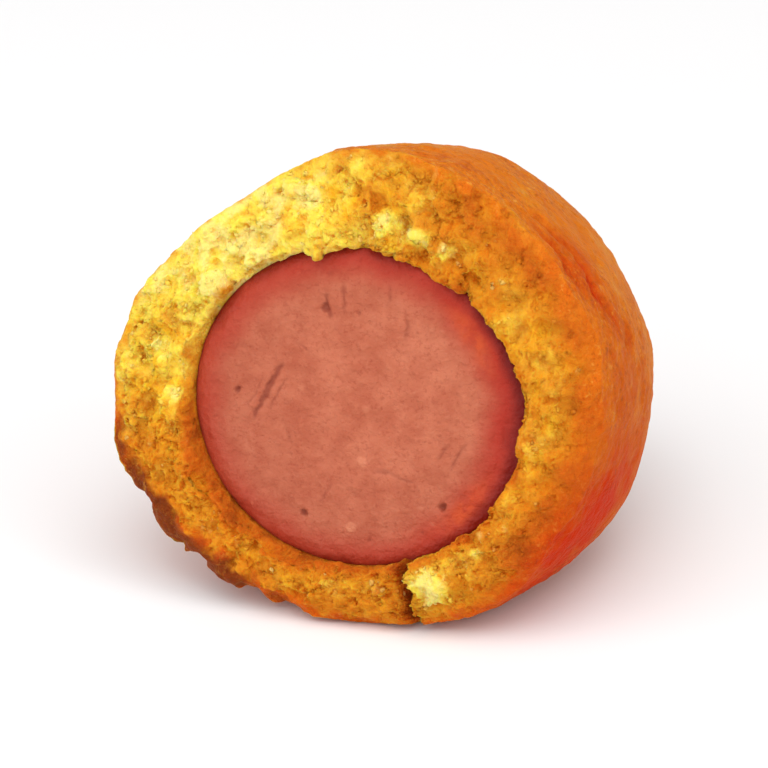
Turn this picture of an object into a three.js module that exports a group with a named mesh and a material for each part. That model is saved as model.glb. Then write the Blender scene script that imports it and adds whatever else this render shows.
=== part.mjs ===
// Half of a mini corn dog: a frankfurter in fried cornmeal batter, broken open across its middle.
// The batter is one solid with a blind pocket, and the sausage runs through the pocket as a second solid.
//
// Units are millimetres and degrees. In the corn dog's own frame the axis is Y, from the break (y = 0) to the
// whole end (+Y), with X across and Z up. The half then rocks back a little, as a rounded half does when it
// lies on its side, and rests on a small flat spot at z = 0 under its centre of mass.

import * as THREE from "three";

// ---- Driving sizes ----
const BATTER_WIDTH = 29.7;
const BATTER_HEIGHT = 29.3;
const WIDEST_AT = -1.5; // along the axis, with 0 in the middle of the break
const END_LENGTH = 24.4; // from the widest place to the tip of the whole end
const END_FULLNESS = 2.42; // 2 is an ellipse, and more is a fuller, blunter end
const SAUSAGE_DIAMETER = 20.2;
const SAUSAGE_DEPTH = 19.2; // from the middle of the break to the sausage's hidden end
const SAUSAGE_DROP = 0.8; // the sausage sits this much below the batter's axis
const POCKET_GAP = 0.3; // clearance between the two solids
const ROUND_END = 0.8; // length of the rounded hidden end, as a share of its radius
const AXIS_BEND = { x: 0.4, z: 0.3 }; // how far the tip of the whole end lies off the axis

// ---- Unevenness ----
// Each entry is how many waves run round the axis, their height in millimetres and their turn in radians.
const BODY_WAVES = [
  [2, 0.47, -1.32],
  [3, 0.3, 2.12],
  [4, 0.25, -1.31],
  [5, 0.28, -1.93],
];
// These grow from nothing at the widest place to the full height at the tip.
const END_WAVES = [
  [2, 0.85, 1.2],
  [3, 0.75, 1.6],
  [4, 0.3, 2.2],
];
const SAUSAGE_WAVES = [
  [2, 0.28, 0.1],
  [3, 0.08, -0.5],
];
const RIM_WAVES = [
  [6, 0.26, 0.4],
  [11, 0.2, 2.0],
  [17, 0.22, -1.1],
];

// ---- The break ----
const BREAK_LEAN = 4; // the top of the torn batter lies further back than its foot
const BREAK_TURN = 13.5; // and its +X side further back than its -X side
const SAUSAGE_LEAN = 2.5; // the sausage is cut on a plane of its own
const SAUSAGE_TURN = 15.5;
const SAUSAGE_SUNK = 0.6; // how far the middle of the cut lies behind the middle of the break
const SAUSAGE_EDGE = 1.3; // width of the rounded edge of the sausage's cut face
const SAUSAGE_EDGE_FALL = 0.6; // and how far back it falls
const EDGE_ROLL = 0.9; // the crumb rolls back this much where it meets the crust
const EDGE_ROLL_WAVE = [1, 0.45, 0.9]; // more so low on the +X side, and less across from there
const EDGE_ROLL_WIDTH = 0.9;
const CRACK_AT = { x: 5, z: -11.8 }; // one crack runs down through the ring of crumb here
const CRACK_ANGLE = -80;
const CRACK_ABOVE = 3.5; // how far up from there it starts
const CRACK_HALF_WIDTH = 0.7;
const CRACK_DEPTH = 1.3;

// ---- Crumb clusters and hollows on the torn face ----
const CRUMB_COUNT = 90;
const CRUMB_RADIUS = [1.0, 2.0];
const CRUMB_HEIGHT = 0.95; // of a cluster of the largest radius
const HOLLOW_COUNT = 40;
const HOLLOW_RADIUS = [0.8, 1.3];
const HOLLOW_DEPTH = 0.55;
const HOLLOW_TURN = 0.37; // keeps the hollows off the clusters

// ---- How it lies ----
const ROCK_BACK = 12.5;
const FLAT_DEPTH = 0.45; // how much of the round underside the flat spot takes away

// ---- Facets ----
const AROUND = 108; // round the batter
const AROUND_SAUSAGE = 60;
const OUTER_ROWS = 24;
const FACE_ROWS = 12;
const POCKET_WALL_ROWS = 3;
const ROUND_END_ROWS = 5;
const SAUSAGE_FACE_ROWS = 4;
const SAUSAGE_EDGE_ROWS = 3;

// ---- Finishes ----
const BATTER_FINISH = { color: 0xdc8526, roughness: 0.6, metalness: 0 };
const SAUSAGE_FINISH = { color: 0xc66f55, roughness: 0.5, metalness: 0 };

const { cos, sin, tan, abs, hypot, max, exp, PI } = Math;
const { degToRad, lerp } = THREE.MathUtils;

// Evenly spread values from 0 to 1: the fractional part of a multiple of an irrational number.
const GOLDEN = 0.6180339887;
const SECOND = 0.7548776662;
const THIRD = 0.5698402910;
const spread = (index, ratio) => (index * ratio) % 1;

const waves = (list, angle) =>
  list.reduce((total, [count, height, turn]) => total + height * cos(count * angle + turn), 0);

// ---- Batter: its outer form ----

// Share of the way from the widest place to the tip.
const shareAlong = (along) => Math.min(1, abs(along - WIDEST_AT) / END_LENGTH);

// Distance of the crust from the axis, at an angle from +X towards +Z and a distance along the axis.
function outerRadius(angle, along) {
  const oval = 1 / hypot(cos(angle) / (BATTER_WIDTH / 2), sin(angle) / (BATTER_HEIGHT / 2));
  const t = shareAlong(along);
  const profile = max(0, 1 - t ** END_FULLNESS) ** (1 / END_FULLNESS);
  return profile * (oval + waves(BODY_WAVES, angle) + t * waves(END_WAVES, angle));
}

// The axis bends a little towards the whole end.
function axisAt(along) {
  const t = shareAlong(along);
  return { x: AXIS_BEND.x * t * t, z: AXIS_BEND.z * t * t };
}

function outerPoint(angle, along) {
  const radius = outerRadius(angle, along);
  const axis = axisAt(along);
  return new THREE.Vector3(axis.x + radius * cos(angle), along, axis.z + radius * sin(angle));
}

// ---- Batter: the torn face ----

const breakPlane = (x, z) => x * tan(degToRad(BREAK_TURN)) + z * tan(degToRad(BREAK_LEAN));

// How far back the crust broke at an angle. The rim isn't quite true.
const edgeRoll = (angle) => EDGE_ROLL + waves([EDGE_ROLL_WAVE, ...RIM_WAVES], angle);

function rimAlong(angle) {
  const radius = outerRadius(angle, 0);
  return breakPlane(radius * cos(angle), radius * sin(angle)) + edgeRoll(angle);
}

const sausageRadius = (angle) => SAUSAGE_DIAMETER / 2 + waves(SAUSAGE_WAVES, angle);
const pocketRadius = (angle) => sausageRadius(angle) + POCKET_GAP;

// Round domes spread evenly over the ring between the sausage and the crust.
function domes(count, turn, radii, tallest) {
  return Array.from({ length: count }, (_, index) => {
    const angle = 2 * PI * spread(index + turn, GOLDEN);
    const inner = pocketRadius(angle);
    const outer = outerRadius(angle, 0);
    const share = spread(index + turn, SECOND);
    const distance = lerp(inner, outer, share);
    const radius = lerp(...radii, spread(index + turn, THIRD));
    return {
      x: distance * cos(angle),
      z: distance * sin(angle) - SAUSAGE_DROP * (1 - share),
      radius,
      height: (tallest * radius) / radii[1],
    };
  });
}

const crumbs = domes(CRUMB_COUNT, 0, CRUMB_RADIUS, CRUMB_HEIGHT);
const hollows = domes(HOLLOW_COUNT, HOLLOW_TURN, HOLLOW_RADIUS, HOLLOW_DEPTH);

// Of domes that overlap, the highest at a place shows.
function domeHeight(domeList, x, z) {
  let height = 0;
  for (const dome of domeList) {
    const share = hypot(x - dome.x, z - dome.z) / dome.radius;
    if (share < 1) height = max(height, dome.height * (1 - share * share));
  }
  return height;
}

// The crack is a groove along a line that runs out through the ring.
function crackDepth(x, z) {
  const line = degToRad(CRACK_ANGLE);
  const [fromX, fromZ] = [x - CRACK_AT.x, z - CRACK_AT.z];
  const outwards = fromX * cos(line) + fromZ * sin(line);
  const aside = abs(fromZ * cos(line) - fromX * sin(line)) / CRACK_HALF_WIDTH;
  return outwards > -CRACK_ABOVE && aside < 1 ? CRACK_DEPTH * (1 - aside) : 0;
}

// How far the crumb stands out of the plane of the break.
const crumbHeight = (x, z) => domeHeight(crumbs, x, z) - domeHeight(hollows, x, z) - crackDepth(x, z);

// A point of the torn face: share 0 is the rim of the crust, and 1 the mouth of the pocket.
function facePoint(angle, share) {
  const rim = outerPoint(angle, rimAlong(angle));
  const mouth = pocketRadius(angle);
  const x = lerp(rim.x, mouth * cos(angle), share);
  const z = lerp(rim.z, mouth * sin(angle) - SAUSAGE_DROP, share);
  const fromRim = hypot(x - rim.x, z - rim.z);
  const roll = edgeRoll(angle) * exp(-fromRim / EDGE_ROLL_WIDTH);
  return new THREE.Vector3(x, breakPlane(x, z) + roll - crumbHeight(x, z) * (1 - exp(-fromRim)), z);
}

// ---- The round hidden end that the sausage and its pocket share ----

// turn runs from 0 at the end of the straight wall to 1 at the tip.
function roundEnd(angle, turn, radius, tip) {
  const length = radius(0) * ROUND_END;
  const bow = (turn * PI) / 2;
  const r = radius(angle) * cos(bow);
  return new THREE.Vector3(r * cos(angle), tip - length * (1 - sin(bow)), r * sin(angle) - SAUSAGE_DROP);
}

function wallPoint(angle, share, radius, front, tip) {
  const end = roundEnd(angle, 0, radius, tip);
  return new THREE.Vector3(end.x, lerp(front, end.y, share), end.z);
}

// ---- From the corn dog's own frame to how it lies ----

// Rows crowd towards the tip of the whole end, where the crust turns fastest.
function outerAlong(angle, share) {
  return lerp(rimAlong(angle), WIDEST_AT + END_LENGTH, sin((share * PI) / 2));
}

const rocking = new THREE.Matrix4().makeRotationX(-degToRad(ROCK_BACK));

// Height of the flat spot in the rocked frame, before the half is set down on z = 0.
function flatLevel() {
  let lowest = Infinity;
  for (let row = 0; row <= OUTER_ROWS; row++)
    for (let step = 0; step < AROUND; step++) {
      const angle = (2 * PI * step) / AROUND;
      const point = outerPoint(angle, outerAlong(angle, row / OUTER_ROWS)).applyMatrix4(rocking);
      lowest = Math.min(lowest, point.z);
    }
  return lowest + FLAT_DEPTH;
}

function setDown(points, level) {
  for (const point of points) {
    point.applyMatrix4(rocking);
    point.z = max(0, point.z - level);
  }
}

// ---- Closed surfaces from rings of points ----

// Rings run from the first pole to the last, each with the same number of points.
function closedSurface(firstPole, rings, lastPole) {
  const around = rings[0].length;
  const points = [firstPole, ...rings.flat(), lastPole];
  const index = [];
  const at = (ring, step) => 1 + ring * around + (step % around);
  const last = points.length - 1;
  for (let step = 0; step < around; step++) {
    index.push(0, at(0, step), at(0, step + 1));
    for (let ring = 0; ring + 1 < rings.length; ring++) {
      const a = at(ring, step);
      const b = at(ring, step + 1);
      const c = at(ring + 1, step);
      const d = at(ring + 1, step + 1);
      // Alternate the diagonal, so that the facets have no common slant.
      if ((ring + step) % 2) index.push(a, c, b, b, c, d);
      else index.push(a, c, d, a, d, b);
    }
    index.push(at(rings.length - 1, step), last, at(rings.length - 1, step + 1));
  }
  return { points, index };
}

function ring(around, pointAt) {
  return Array.from({ length: around }, (_, step) => pointAt((2 * PI * step) / around));
}

function rows(count, makeRing) {
  return Array.from({ length: count }, (_, row) => makeRing(row, count));
}

function namedMesh(name, surface, finish) {
  const geometry = new THREE.BufferGeometry().setFromPoints(surface.points);
  geometry.setIndex(surface.index);
  geometry.computeVertexNormals();
  const mesh = new THREE.Mesh(geometry, new THREE.MeshStandardMaterial(finish));
  mesh.name = name;
  return mesh;
}

// ---- Batter ----

function batter(level) {
  const tip = SAUSAGE_DEPTH + POCKET_GAP;
  const pocketEnd = rows(ROUND_END_ROWS, (row, count) =>
    ring(AROUND, (angle) => roundEnd(angle, 1 - (row + 1) / count, pocketRadius, tip)),
  );
  const pocketWall = rows(POCKET_WALL_ROWS, (row, count) =>
    ring(AROUND, (angle) =>
      wallPoint(angle, 1 - (row + 1) / (count + 1), pocketRadius, facePoint(angle, 1).y, tip),
    ),
  );
  const face = rows(FACE_ROWS + 1, (row) => ring(AROUND, (angle) => facePoint(angle, 1 - row / FACE_ROWS)));
  const crust = rows(OUTER_ROWS - 1, (row) =>
    ring(AROUND, (angle) => outerPoint(angle, outerAlong(angle, (row + 1) / OUTER_ROWS))),
  );
  const surface = closedSurface(
    new THREE.Vector3(0, tip, -SAUSAGE_DROP),
    [...pocketEnd, ...pocketWall, ...face, ...crust],
    outerPoint(0, WIDEST_AT + END_LENGTH),
  );
  setDown(surface.points, level);
  return namedMesh("batter", surface, BATTER_FINISH);
}

// ---- Sausage ----

const sausageFacePlane = (x, z) =>
  x * tan(degToRad(SAUSAGE_TURN)) + z * tan(degToRad(SAUSAGE_LEAN)) + SAUSAGE_SUNK;

// A point of the cut face: share 0 is its middle, and 1 the start of the rounded edge.
function cutPoint(angle, share) {
  const r = (sausageRadius(angle) - SAUSAGE_EDGE) * share;
  const x = r * cos(angle);
  const z = r * sin(angle);
  return new THREE.Vector3(x, sausageFacePlane(x, z), z - SAUSAGE_DROP);
}

function edgePoint(angle, turn) {
  const start = cutPoint(angle, 1);
  const bow = (turn * PI) / 2;
  return new THREE.Vector3(
    start.x + SAUSAGE_EDGE * sin(bow) * cos(angle),
    start.y + SAUSAGE_EDGE_FALL * (1 - cos(bow)),
    start.z + SAUSAGE_EDGE * sin(bow) * sin(angle),
  );
}

function sausage(level) {
  const cutFace = rows(SAUSAGE_FACE_ROWS, (row, count) =>
    ring(AROUND_SAUSAGE, (angle) => cutPoint(angle, (row + 1) / count)),
  );
  const edge = rows(SAUSAGE_EDGE_ROWS, (row, count) =>
    ring(AROUND_SAUSAGE, (angle) => edgePoint(angle, (row + 1) / count)),
  );
  const end = rows(ROUND_END_ROWS, (row, count) =>
    ring(AROUND_SAUSAGE, (angle) => roundEnd(angle, row / count, sausageRadius, SAUSAGE_DEPTH)),
  );
  const surface = closedSurface(
    cutPoint(0, 0),
    [...cutFace, ...edge, ...end],
    new THREE.Vector3(0, SAUSAGE_DEPTH, -SAUSAGE_DROP),
  );
  setDown(surface.points, level);
  return namedMesh("sausage", surface, SAUSAGE_FINISH);
}

// ---- The half corn dog, with its origin under the middle of its box ----

const level = flatLevel();
const halfCornDog = new THREE.Group();
halfCornDog.add(batter(level), sausage(level));

const centre = new THREE.Box3().setFromObject(halfCornDog, true).getCenter(new THREE.Vector3());
halfCornDog.position.set(-centre.x, -centre.y, 0);

export default halfCornDog;
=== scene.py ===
# %% [markdown]
# # Half of a mini corn dog
#
# A mini corn dog is a short sausage dipped in cornmeal batter and fried. This one is broken open
# across its middle and lies on its round side. Two things are made here: the batter, which is a
# brown crust outside and a torn yellow crumb inside, and the cut sausage. Loose crumbs lie on the
# torn face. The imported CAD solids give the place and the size, and every visible piece is made
# again round them with finer relief.

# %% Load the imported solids
import math

import bpy
import numpy as np
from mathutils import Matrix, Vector, noise


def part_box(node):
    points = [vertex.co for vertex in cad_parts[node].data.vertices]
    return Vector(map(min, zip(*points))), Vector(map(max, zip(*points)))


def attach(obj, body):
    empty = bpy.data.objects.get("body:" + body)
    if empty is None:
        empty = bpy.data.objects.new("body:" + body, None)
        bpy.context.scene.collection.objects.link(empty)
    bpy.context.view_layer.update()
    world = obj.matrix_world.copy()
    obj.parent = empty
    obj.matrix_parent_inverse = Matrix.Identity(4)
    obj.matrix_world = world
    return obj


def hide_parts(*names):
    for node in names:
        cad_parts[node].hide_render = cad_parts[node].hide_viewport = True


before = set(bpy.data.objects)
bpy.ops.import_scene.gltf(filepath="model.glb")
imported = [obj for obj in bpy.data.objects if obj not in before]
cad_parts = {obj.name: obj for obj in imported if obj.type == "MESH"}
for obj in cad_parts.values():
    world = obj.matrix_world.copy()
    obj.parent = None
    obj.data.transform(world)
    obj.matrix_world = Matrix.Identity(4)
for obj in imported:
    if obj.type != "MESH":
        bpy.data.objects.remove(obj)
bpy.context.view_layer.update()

MM = 0.001  # the shapes are worked out in millimetres, and Blender's unit is the metre


def add_object(name, data):
    """A new object in the scene, at the origin."""
    added = bpy.data.objects.new(name, data)
    bpy.context.scene.collection.objects.link(added)
    return added


# %% [markdown]
# ## The studio
#
# The floor is one pale sheet, far larger than what the camera sees, so that it has no edge in the
# picture. The camera looks down on the cut face from a little to its right. A long lens keeps the
# round form from bulging towards the camera.

# %% Camera
CAMERA_AZIMUTH, CAMERA_ELEVATION = math.radians(33), math.radians(25.5)
CAMERA_DISTANCE, NEAREST_SEEN = 0.36, 0.01
FRAME_SHARE = 0.70  # how much of the picture's width the half takes up


def seen_from(azimuth, elevation):
    """The direction from the half towards a viewer, or a light, there."""
    level = math.cos(elevation)
    return Vector((math.sin(azimuth) * level, -math.cos(azimuth) * level, math.sin(elevation)))


view_back = seen_from(CAMERA_AZIMUTH, CAMERA_ELEVATION)
turn = view_back.to_track_quat("Z", "Y")
solid_points = np.array(
    [point.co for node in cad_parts.values() for point in node.data.vertices]
)
in_view = solid_points @ np.array(turn.to_matrix())  # across, up and towards the camera
view_low, view_high = in_view.min(0), in_view.max(0)
view_width = view_high[0] - view_low[0]
middle = turn @ Vector((view_low + view_high) / 2)

camera = add_object("camera", bpy.data.cameras.new("camera"))
camera.location = middle + view_back * CAMERA_DISTANCE
camera.rotation_euler = turn.to_euler()
camera.data.lens = camera.data.sensor_width * CAMERA_DISTANCE * FRAME_SHARE / view_width
camera.data.clip_start = NEAREST_SEEN
bpy.context.scene.camera = camera
print("lens:", round(camera.data.lens), "mm")

# %% Floor
FLOOR_HALF = 3.0  # metres from its middle to each side

floor_mesh = bpy.data.meshes.new("floor")
corner_signs = ((-1, -1), (1, -1), (1, 1), (-1, 1))
floor_corners = [(x * FLOOR_HALF, y * FLOOR_HALF, 0) for x, y in corner_signs]
floor_mesh.from_pydata(floor_corners, [], [(0, 1, 2, 3)])
floor = add_object("floor", floor_mesh)

# %% [markdown]
# ## Light
#
# Fried batter looks good in a big soft light from above, because the crust then fades slowly from
# gold to brown towards its underside. The largest softbox stands in front and gives the torn face
# soft shades. A small weak one at the right makes each crumb a little brighter on that side.

# %% Lights
WARM_LIGHT = (1.0, 0.97, 0.93)
SKY_COLOR, SKY_STRENGTH = (1.0, 0.99, 0.975, 1), 0.52


def soft_light(name, azimuth, elevation, distance, size, power, tint=(1, 1, 1)):
    """A square softbox that faces the half from an azimuth and elevation in degrees."""
    away = seen_from(math.radians(azimuth), math.radians(elevation))
    light = bpy.data.lights.new(name, "AREA")
    light.shape, light.size, light.energy, light.color = "SQUARE", size, power, tint
    holder = add_object(name, light)
    holder.location = middle + away * distance
    holder.rotation_euler = away.to_track_quat("Z", "Y").to_euler()


soft_light("top_light", azimuth=50, elevation=68, distance=0.5, size=0.45, power=1.35)
soft_light(
    "side_light", azimuth=95, elevation=30, distance=0.5, size=0.2, power=0.3, tint=WARM_LIGHT
)
soft_light("front_light", azimuth=-10, elevation=36, distance=0.6, size=0.8, power=2.6)

world = bpy.data.worlds.new("studio")
world.use_nodes = True
sky = world.node_tree.nodes["Background"].inputs
sky["Color"].default_value, sky["Strength"].default_value = SKY_COLOR, SKY_STRENGTH
bpy.context.scene.world = world
bpy.context.scene.view_settings.view_transform = "Standard"

# %% [markdown]
# ## Helpers for shapes
#
# Both pieces are rings of points round the corn dog's axis, joined into one closed skin. Rings far
# from the detail have half as many points as their neighbours, so the skin also has to join two
# rings whose counts differ by a factor of two. Noise gives the natural unevenness. It reads a
# point's place in space, so it runs on without a seam all round the ring.

# %% Rings into a closed skin
def skin(first_pole, rings, last_pole):
    """Points and faces of the closed skin from one pole over all the rings to the other."""
    starts = np.cumsum([1] + [len(ring) for ring in rings])
    count = len(rings[0])
    faces = [(0, 1 + step, 1 + (step + 1) % count) for step in range(count)]
    for a, b, first, second in zip(starts, starts[1:], rings, rings[1:]):
        count = min(len(first), len(second))
        for step in range(count):
            after, half = (step + 1) % count, 2 * step + 1
            if len(first) == len(second):
                faces.append((a + step, b + step, b + after, a + after))
            elif len(first) < len(second):
                faces += [
                    (a + step, b + 2 * step, b + half),
                    (a + step, b + half, a + after),
                    (a + after, b + half, b + (half + 1) % len(second)),
                ]
            else:
                faces += [
                    (a + 2 * step, b + step, a + half),
                    (a + half, b + step, b + after),
                    (a + half, b + after, a + (half + 1) % len(first)),
                ]
    start, last = starts[-2:]
    count = len(rings[-1])
    faces += [(start + step, last, start + (step + 1) % count) for step in range(count)]
    return np.vstack([first_pole, *rings, last_pole]), faces


def turns(count):
    """Evenly spaced angles round the axis, from +X towards +Z."""
    return np.arange(count) * (2 * math.pi / count)


# %% Steps, bells and mixing
def smooth(value, low, high):
    """0 at low, 1 at high, and a soft step between."""
    share = np.clip((value - low) / (high - low), 0, 1)
    return share * share * (3 - 2 * share)


def bell(value, middle, width):
    return np.exp(-(((value - middle) / width) ** 2))


def bell_round(angle, degrees, width):
    """1 at this many degrees round the axis, and less to both sides."""
    return bell((np.degrees(angle) - degrees + 180) % 360 - 180, 0, width)


def mix(a, b, share):
    return a + (b - a) * share


# %% Smooth noise and cell noise
CLOUD_SEED_STEP, GRAIN_SEED_STEP = 17.31, 11.7  # how far apart two seeds read the noise
PLAIN_NOISE_GAIN = 1.6  # brings Blender's plain noise to about -1 to 1
OWN_HASH, OWN_SPREAD = (12.9898, 78.233, 37.719), 43758.5453
LEAN_HASH, LEAN_SPREAD = (39.425, 21.217, 63.118), 2377.13
LEAN_HEIGHT, CREASE_WIDTH = 1.4, 0.6


def cloud(points, size, octaves=1, seed=0):
    """Smooth noise of about -1 to 1 at each point, with lumps of the size given."""
    places = points / size + seed * CLOUD_SEED_STEP
    if octaves == 1:
        return np.array([noise.noise(Vector(place)) for place in places]) * PLAIN_NOISE_GAIN
    return np.array([noise.fractal(Vector(place), 1.0, 2.0, octaves) for place in places])


def drifting(points, size, seeds, octaves=1):
    """Noise with its own value along each axis. It moves the places where other noise is read."""
    return np.stack([cloud(points, size, octaves, seed) for seed in seeds], -1)


class Grains:
    """Space cut into grains of the size given, as cracked mud is: how far each point is inside
    its grain, 0 at the crease, and the grain's own number from 0 to 1."""

    def __init__(self, points, size, seed):
        places = points / size + seed * GRAIN_SEED_STEP
        found = [noise.voronoi(Vector(place)) for place in places]
        self.inside = np.array([distances[1] - distances[0] for distances, _ in found])
        middles = np.array([nearest[0] for _, nearest in found])
        self.own = np.sin(middles @ OWN_HASH) * OWN_SPREAD % 1
        lean = np.sin(middles * LEAN_HASH) * LEAN_SPREAD % 1 - 0.5
        self.slope = np.einsum("ij,ij->i", places - middles, lean)

    def rubble(self, crease):
        """A broken surface: each grain has its own height and lean, with a crease round it."""
        gap = crease * (1 - smooth(self.inside, 0, CREASE_WIDTH))
        return self.own - 0.5 + LEAN_HEIGHT * self.slope - gap


# %% [markdown]
# ## The batter's form
#
# These are the solid's own formulas: an oval section whose profile is a superellipse along the
# axis, with a few broad lobes. Making the form again from its formula, and not from the solid's
# facets, lets the fine mesh be as smooth as the fried crust is.

# %% Sizes of the form, in millimetres
BATTER_WIDTH, BATTER_HEIGHT = 29.7, 29.3
WIDEST_AT, END_LENGTH, END_FULLNESS = -1.5, 24.4, 2.42  # the last is the superellipse's power
AXIS_BEND_ACROSS, AXIS_BEND_UP = 0.4, 0.3  # how far the tip lies off the straight axis
SAUSAGE_DIAMETER, SAUSAGE_DEPTH, SAUSAGE_DROP, POCKET_GAP = 20.2, 19.2, 0.8, 0.3
BREAK_LEAN, BREAK_TURN = math.radians(4), math.radians(13.5)
SAUSAGE_LEAN, SAUSAGE_TURN, SAUSAGE_SUNK = math.radians(2.5), math.radians(15.5), 0.6
SAUSAGE_EDGE, SAUSAGE_EDGE_FALL, ROUND_END = 1.3, 0.6, 0.8
EDGE_ROLL, EDGE_ROLL_WIDTH = 0.9, 0.9
ROCK_BACK = math.radians(12.5)

# Unevenness: how many waves round the axis, their height and their turn in radians.
BODY_WAVES = ((2, 0.47, -1.32), (3, 0.3, 2.12), (4, 0.25, -1.31), (5, 0.28, -1.93))
END_WAVES = ((2, 0.85, 1.2), (3, 0.75, 1.6), (4, 0.3, 2.2))  # these grow towards the tip
SAUSAGE_WAVES = ((2, 0.28, 0.1), (3, 0.08, -0.5))
RIM_WAVES = ((1, 0.45, 0.9), (6, 0.26, 0.4), (11, 0.2, 2.0), (17, 0.22, -1.1))


# %% Outer form
def waves(entries, angle):
    return sum(height * np.cos(count * angle + turn) for count, height, turn in entries)


def share_along(along):
    """Share of the way from the widest place to the tip."""
    return np.minimum(1, np.abs(along - WIDEST_AT) / END_LENGTH)


def outer_radius(angle, along):
    """Distance of the crust from the axis, at an angle from +X towards +Z."""
    oval = 1 / np.hypot(np.cos(angle) / (BATTER_WIDTH / 2), np.sin(angle) / (BATTER_HEIGHT / 2))
    t = share_along(along)
    profile = np.maximum(0, 1 - t**END_FULLNESS) ** (1 / END_FULLNESS)
    return profile * (oval + waves(BODY_WAVES, angle) + t * waves(END_WAVES, angle))


def outer_point(angle, along):
    radius, t = outer_radius(angle, along), share_along(along)
    x = AXIS_BEND_ACROSS * t * t + radius * np.cos(angle)
    z = AXIS_BEND_UP * t * t + radius * np.sin(angle)
    return np.stack([x, along + 0 * angle, z], -1)


# %% The break
def break_plane(x, z):
    return x * math.tan(BREAK_TURN) + z * math.tan(BREAK_LEAN)


def edge_roll(angle):
    """How far back the crust broke at an angle. The rim isn't quite true."""
    return EDGE_ROLL + waves(RIM_WAVES, angle)


def rim_along(angle):
    radius = outer_radius(angle, 0)
    return break_plane(radius * np.cos(angle), radius * np.sin(angle)) + edge_roll(angle)


# %% [markdown]
# ## The sausage's form, and how the half lies
#
# The corn dog's own axis is Y. The half lies rocked back a little, as the solids do. Where they lie
# is read from the solid sausage's box: the same sausage is worked out here, and the two boxes give
# the shift.

# %% The sausage's cut, edge and hidden end
def sausage_radius(angle):
    return SAUSAGE_DIAMETER / 2 + waves(SAUSAGE_WAVES, angle)


def sausage_plane(x, z):
    """Where the cut lies along the axis, with x and z from the sausage's own axis."""
    return x * math.tan(SAUSAGE_TURN) + z * math.tan(SAUSAGE_LEAN) + SAUSAGE_SUNK


def round_end(angle, turn, radius, tip):
    """The hidden end that the sausage and its pocket share: turn is 0 at the wall, 1 at the tip."""
    bow = turn * math.pi / 2
    r = radius(angle) * math.cos(bow)
    along = tip - radius(0) * ROUND_END * (1 - math.sin(bow))
    return np.stack([r * np.cos(angle), along + 0 * angle, r * np.sin(angle) - SAUSAGE_DROP], -1)


def cut_point(angle, share):
    """A point of the plain cut: share 0 is its middle, and 1 the start of the rounded edge."""
    r = (sausage_radius(angle) - SAUSAGE_EDGE) * share
    x, z = r * np.cos(angle), r * np.sin(angle)
    return np.stack([x, sausage_plane(x, z), z - SAUSAGE_DROP], -1)


def edge_point(angle, turn):
    bow = turn * math.pi / 2
    out, back = SAUSAGE_EDGE * math.sin(bow), SAUSAGE_EDGE_FALL * (1 - math.cos(bow))
    step = np.stack([out * np.cos(angle), back + 0 * angle, out * np.sin(angle)], -1)
    return cut_point(angle, 1) + step


# %% From the corn dog's own frame to how it lies
MEASURED_ROUND, MEASURED_END, MEASURED_ROWS = 720, 60, 24  # points that find the sausage's box


def rocked(points):
    c, s = math.cos(ROCK_BACK), math.sin(ROCK_BACK)
    x, y, z = points[..., 0], points[..., 1], points[..., 2]
    return np.stack([x, y * c + z * s, z * c - y * s], -1)


around = turns(MEASURED_ROUND)
end_turns, row_shares = np.linspace(0, 1, MEASURED_END), np.linspace(0, 1, MEASURED_ROWS)
lying = rocked(np.vstack([
    *(round_end(around, turn, sausage_radius, SAUSAGE_DEPTH) for turn in end_turns),
    *(edge_point(around, turn) for turn in row_shares),
    *(cut_point(around, share) for share in row_shares),
]))
solid_low, solid_high = (np.array(corner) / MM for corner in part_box("sausage"))
shift = ((solid_low + solid_high) - (lying.min(0) + lying.max(0))) / 2
size_error = np.ptp(lying, axis=0) - (solid_high - solid_low)
print("shift onto the solids:", shift.round(2), "mm; size error:", size_error.round(3), "mm")


def lie_down(points):
    """Own frame to the solids' frame, in millimetres, with the flat spot on the floor."""
    placed = rocked(points) + shift
    placed[..., 2] = np.maximum(placed[..., 2], 0)
    return placed


# %% [markdown]
# ## The torn face
#
# Broken cornbread is a heap of clumps. The large ones are the solid's own domes and hollows, spread
# over the ring by steps that never repeat. The finer grains come later, from cell noise.

# %% Domes and hollows
GOLDEN, SECOND, THIRD = 0.6180339887, 0.7548776662, 0.5698402910  # steps that never repeat


def domes(count, turn, radii, tallest):
    """Round domes spread evenly over the ring of batter: x, z, radius and height."""
    index = np.arange(count) + turn
    angle, share = 2 * math.pi * (index * GOLDEN % 1), index * SECOND % 1
    inner = sausage_radius(angle) + POCKET_GAP
    distance = mix(inner, outer_radius(angle, 0), share)
    radius = mix(radii[0], radii[1], index * THIRD % 1)
    z = distance * np.sin(angle) - SAUSAGE_DROP * (1 - share)
    return np.stack([distance * np.cos(angle), z, radius, tallest * radius / radii[1]], -1)


def dome_height(dome_list, x, z, power=1.0):
    """Of domes that overlap, the highest at a place shows."""
    height = np.zeros_like(x)
    for dome_x, dome_z, radius, tallest in dome_list:
        inside = np.maximum(0, 1 - ((x - dome_x) ** 2 + (z - dome_z) ** 2) / radius**2)
        height = np.maximum(height, tallest * inside**power)
    return height


clumps = domes(count=90, turn=0, radii=(1.0, 2.0), tallest=0.95)
hollows = domes(count=40, turn=0.37, radii=(0.8, 1.3), tallest=0.55)

# %% [markdown]
# The face runs from the rim to a shoulder just outside the sausage. There it turns down against the
# sausage's side, so that no gap shows. The shoulder is widest at the left, where the batter came
# away from the skin. Here and there a crumb laps over the sausage's edge.

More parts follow.
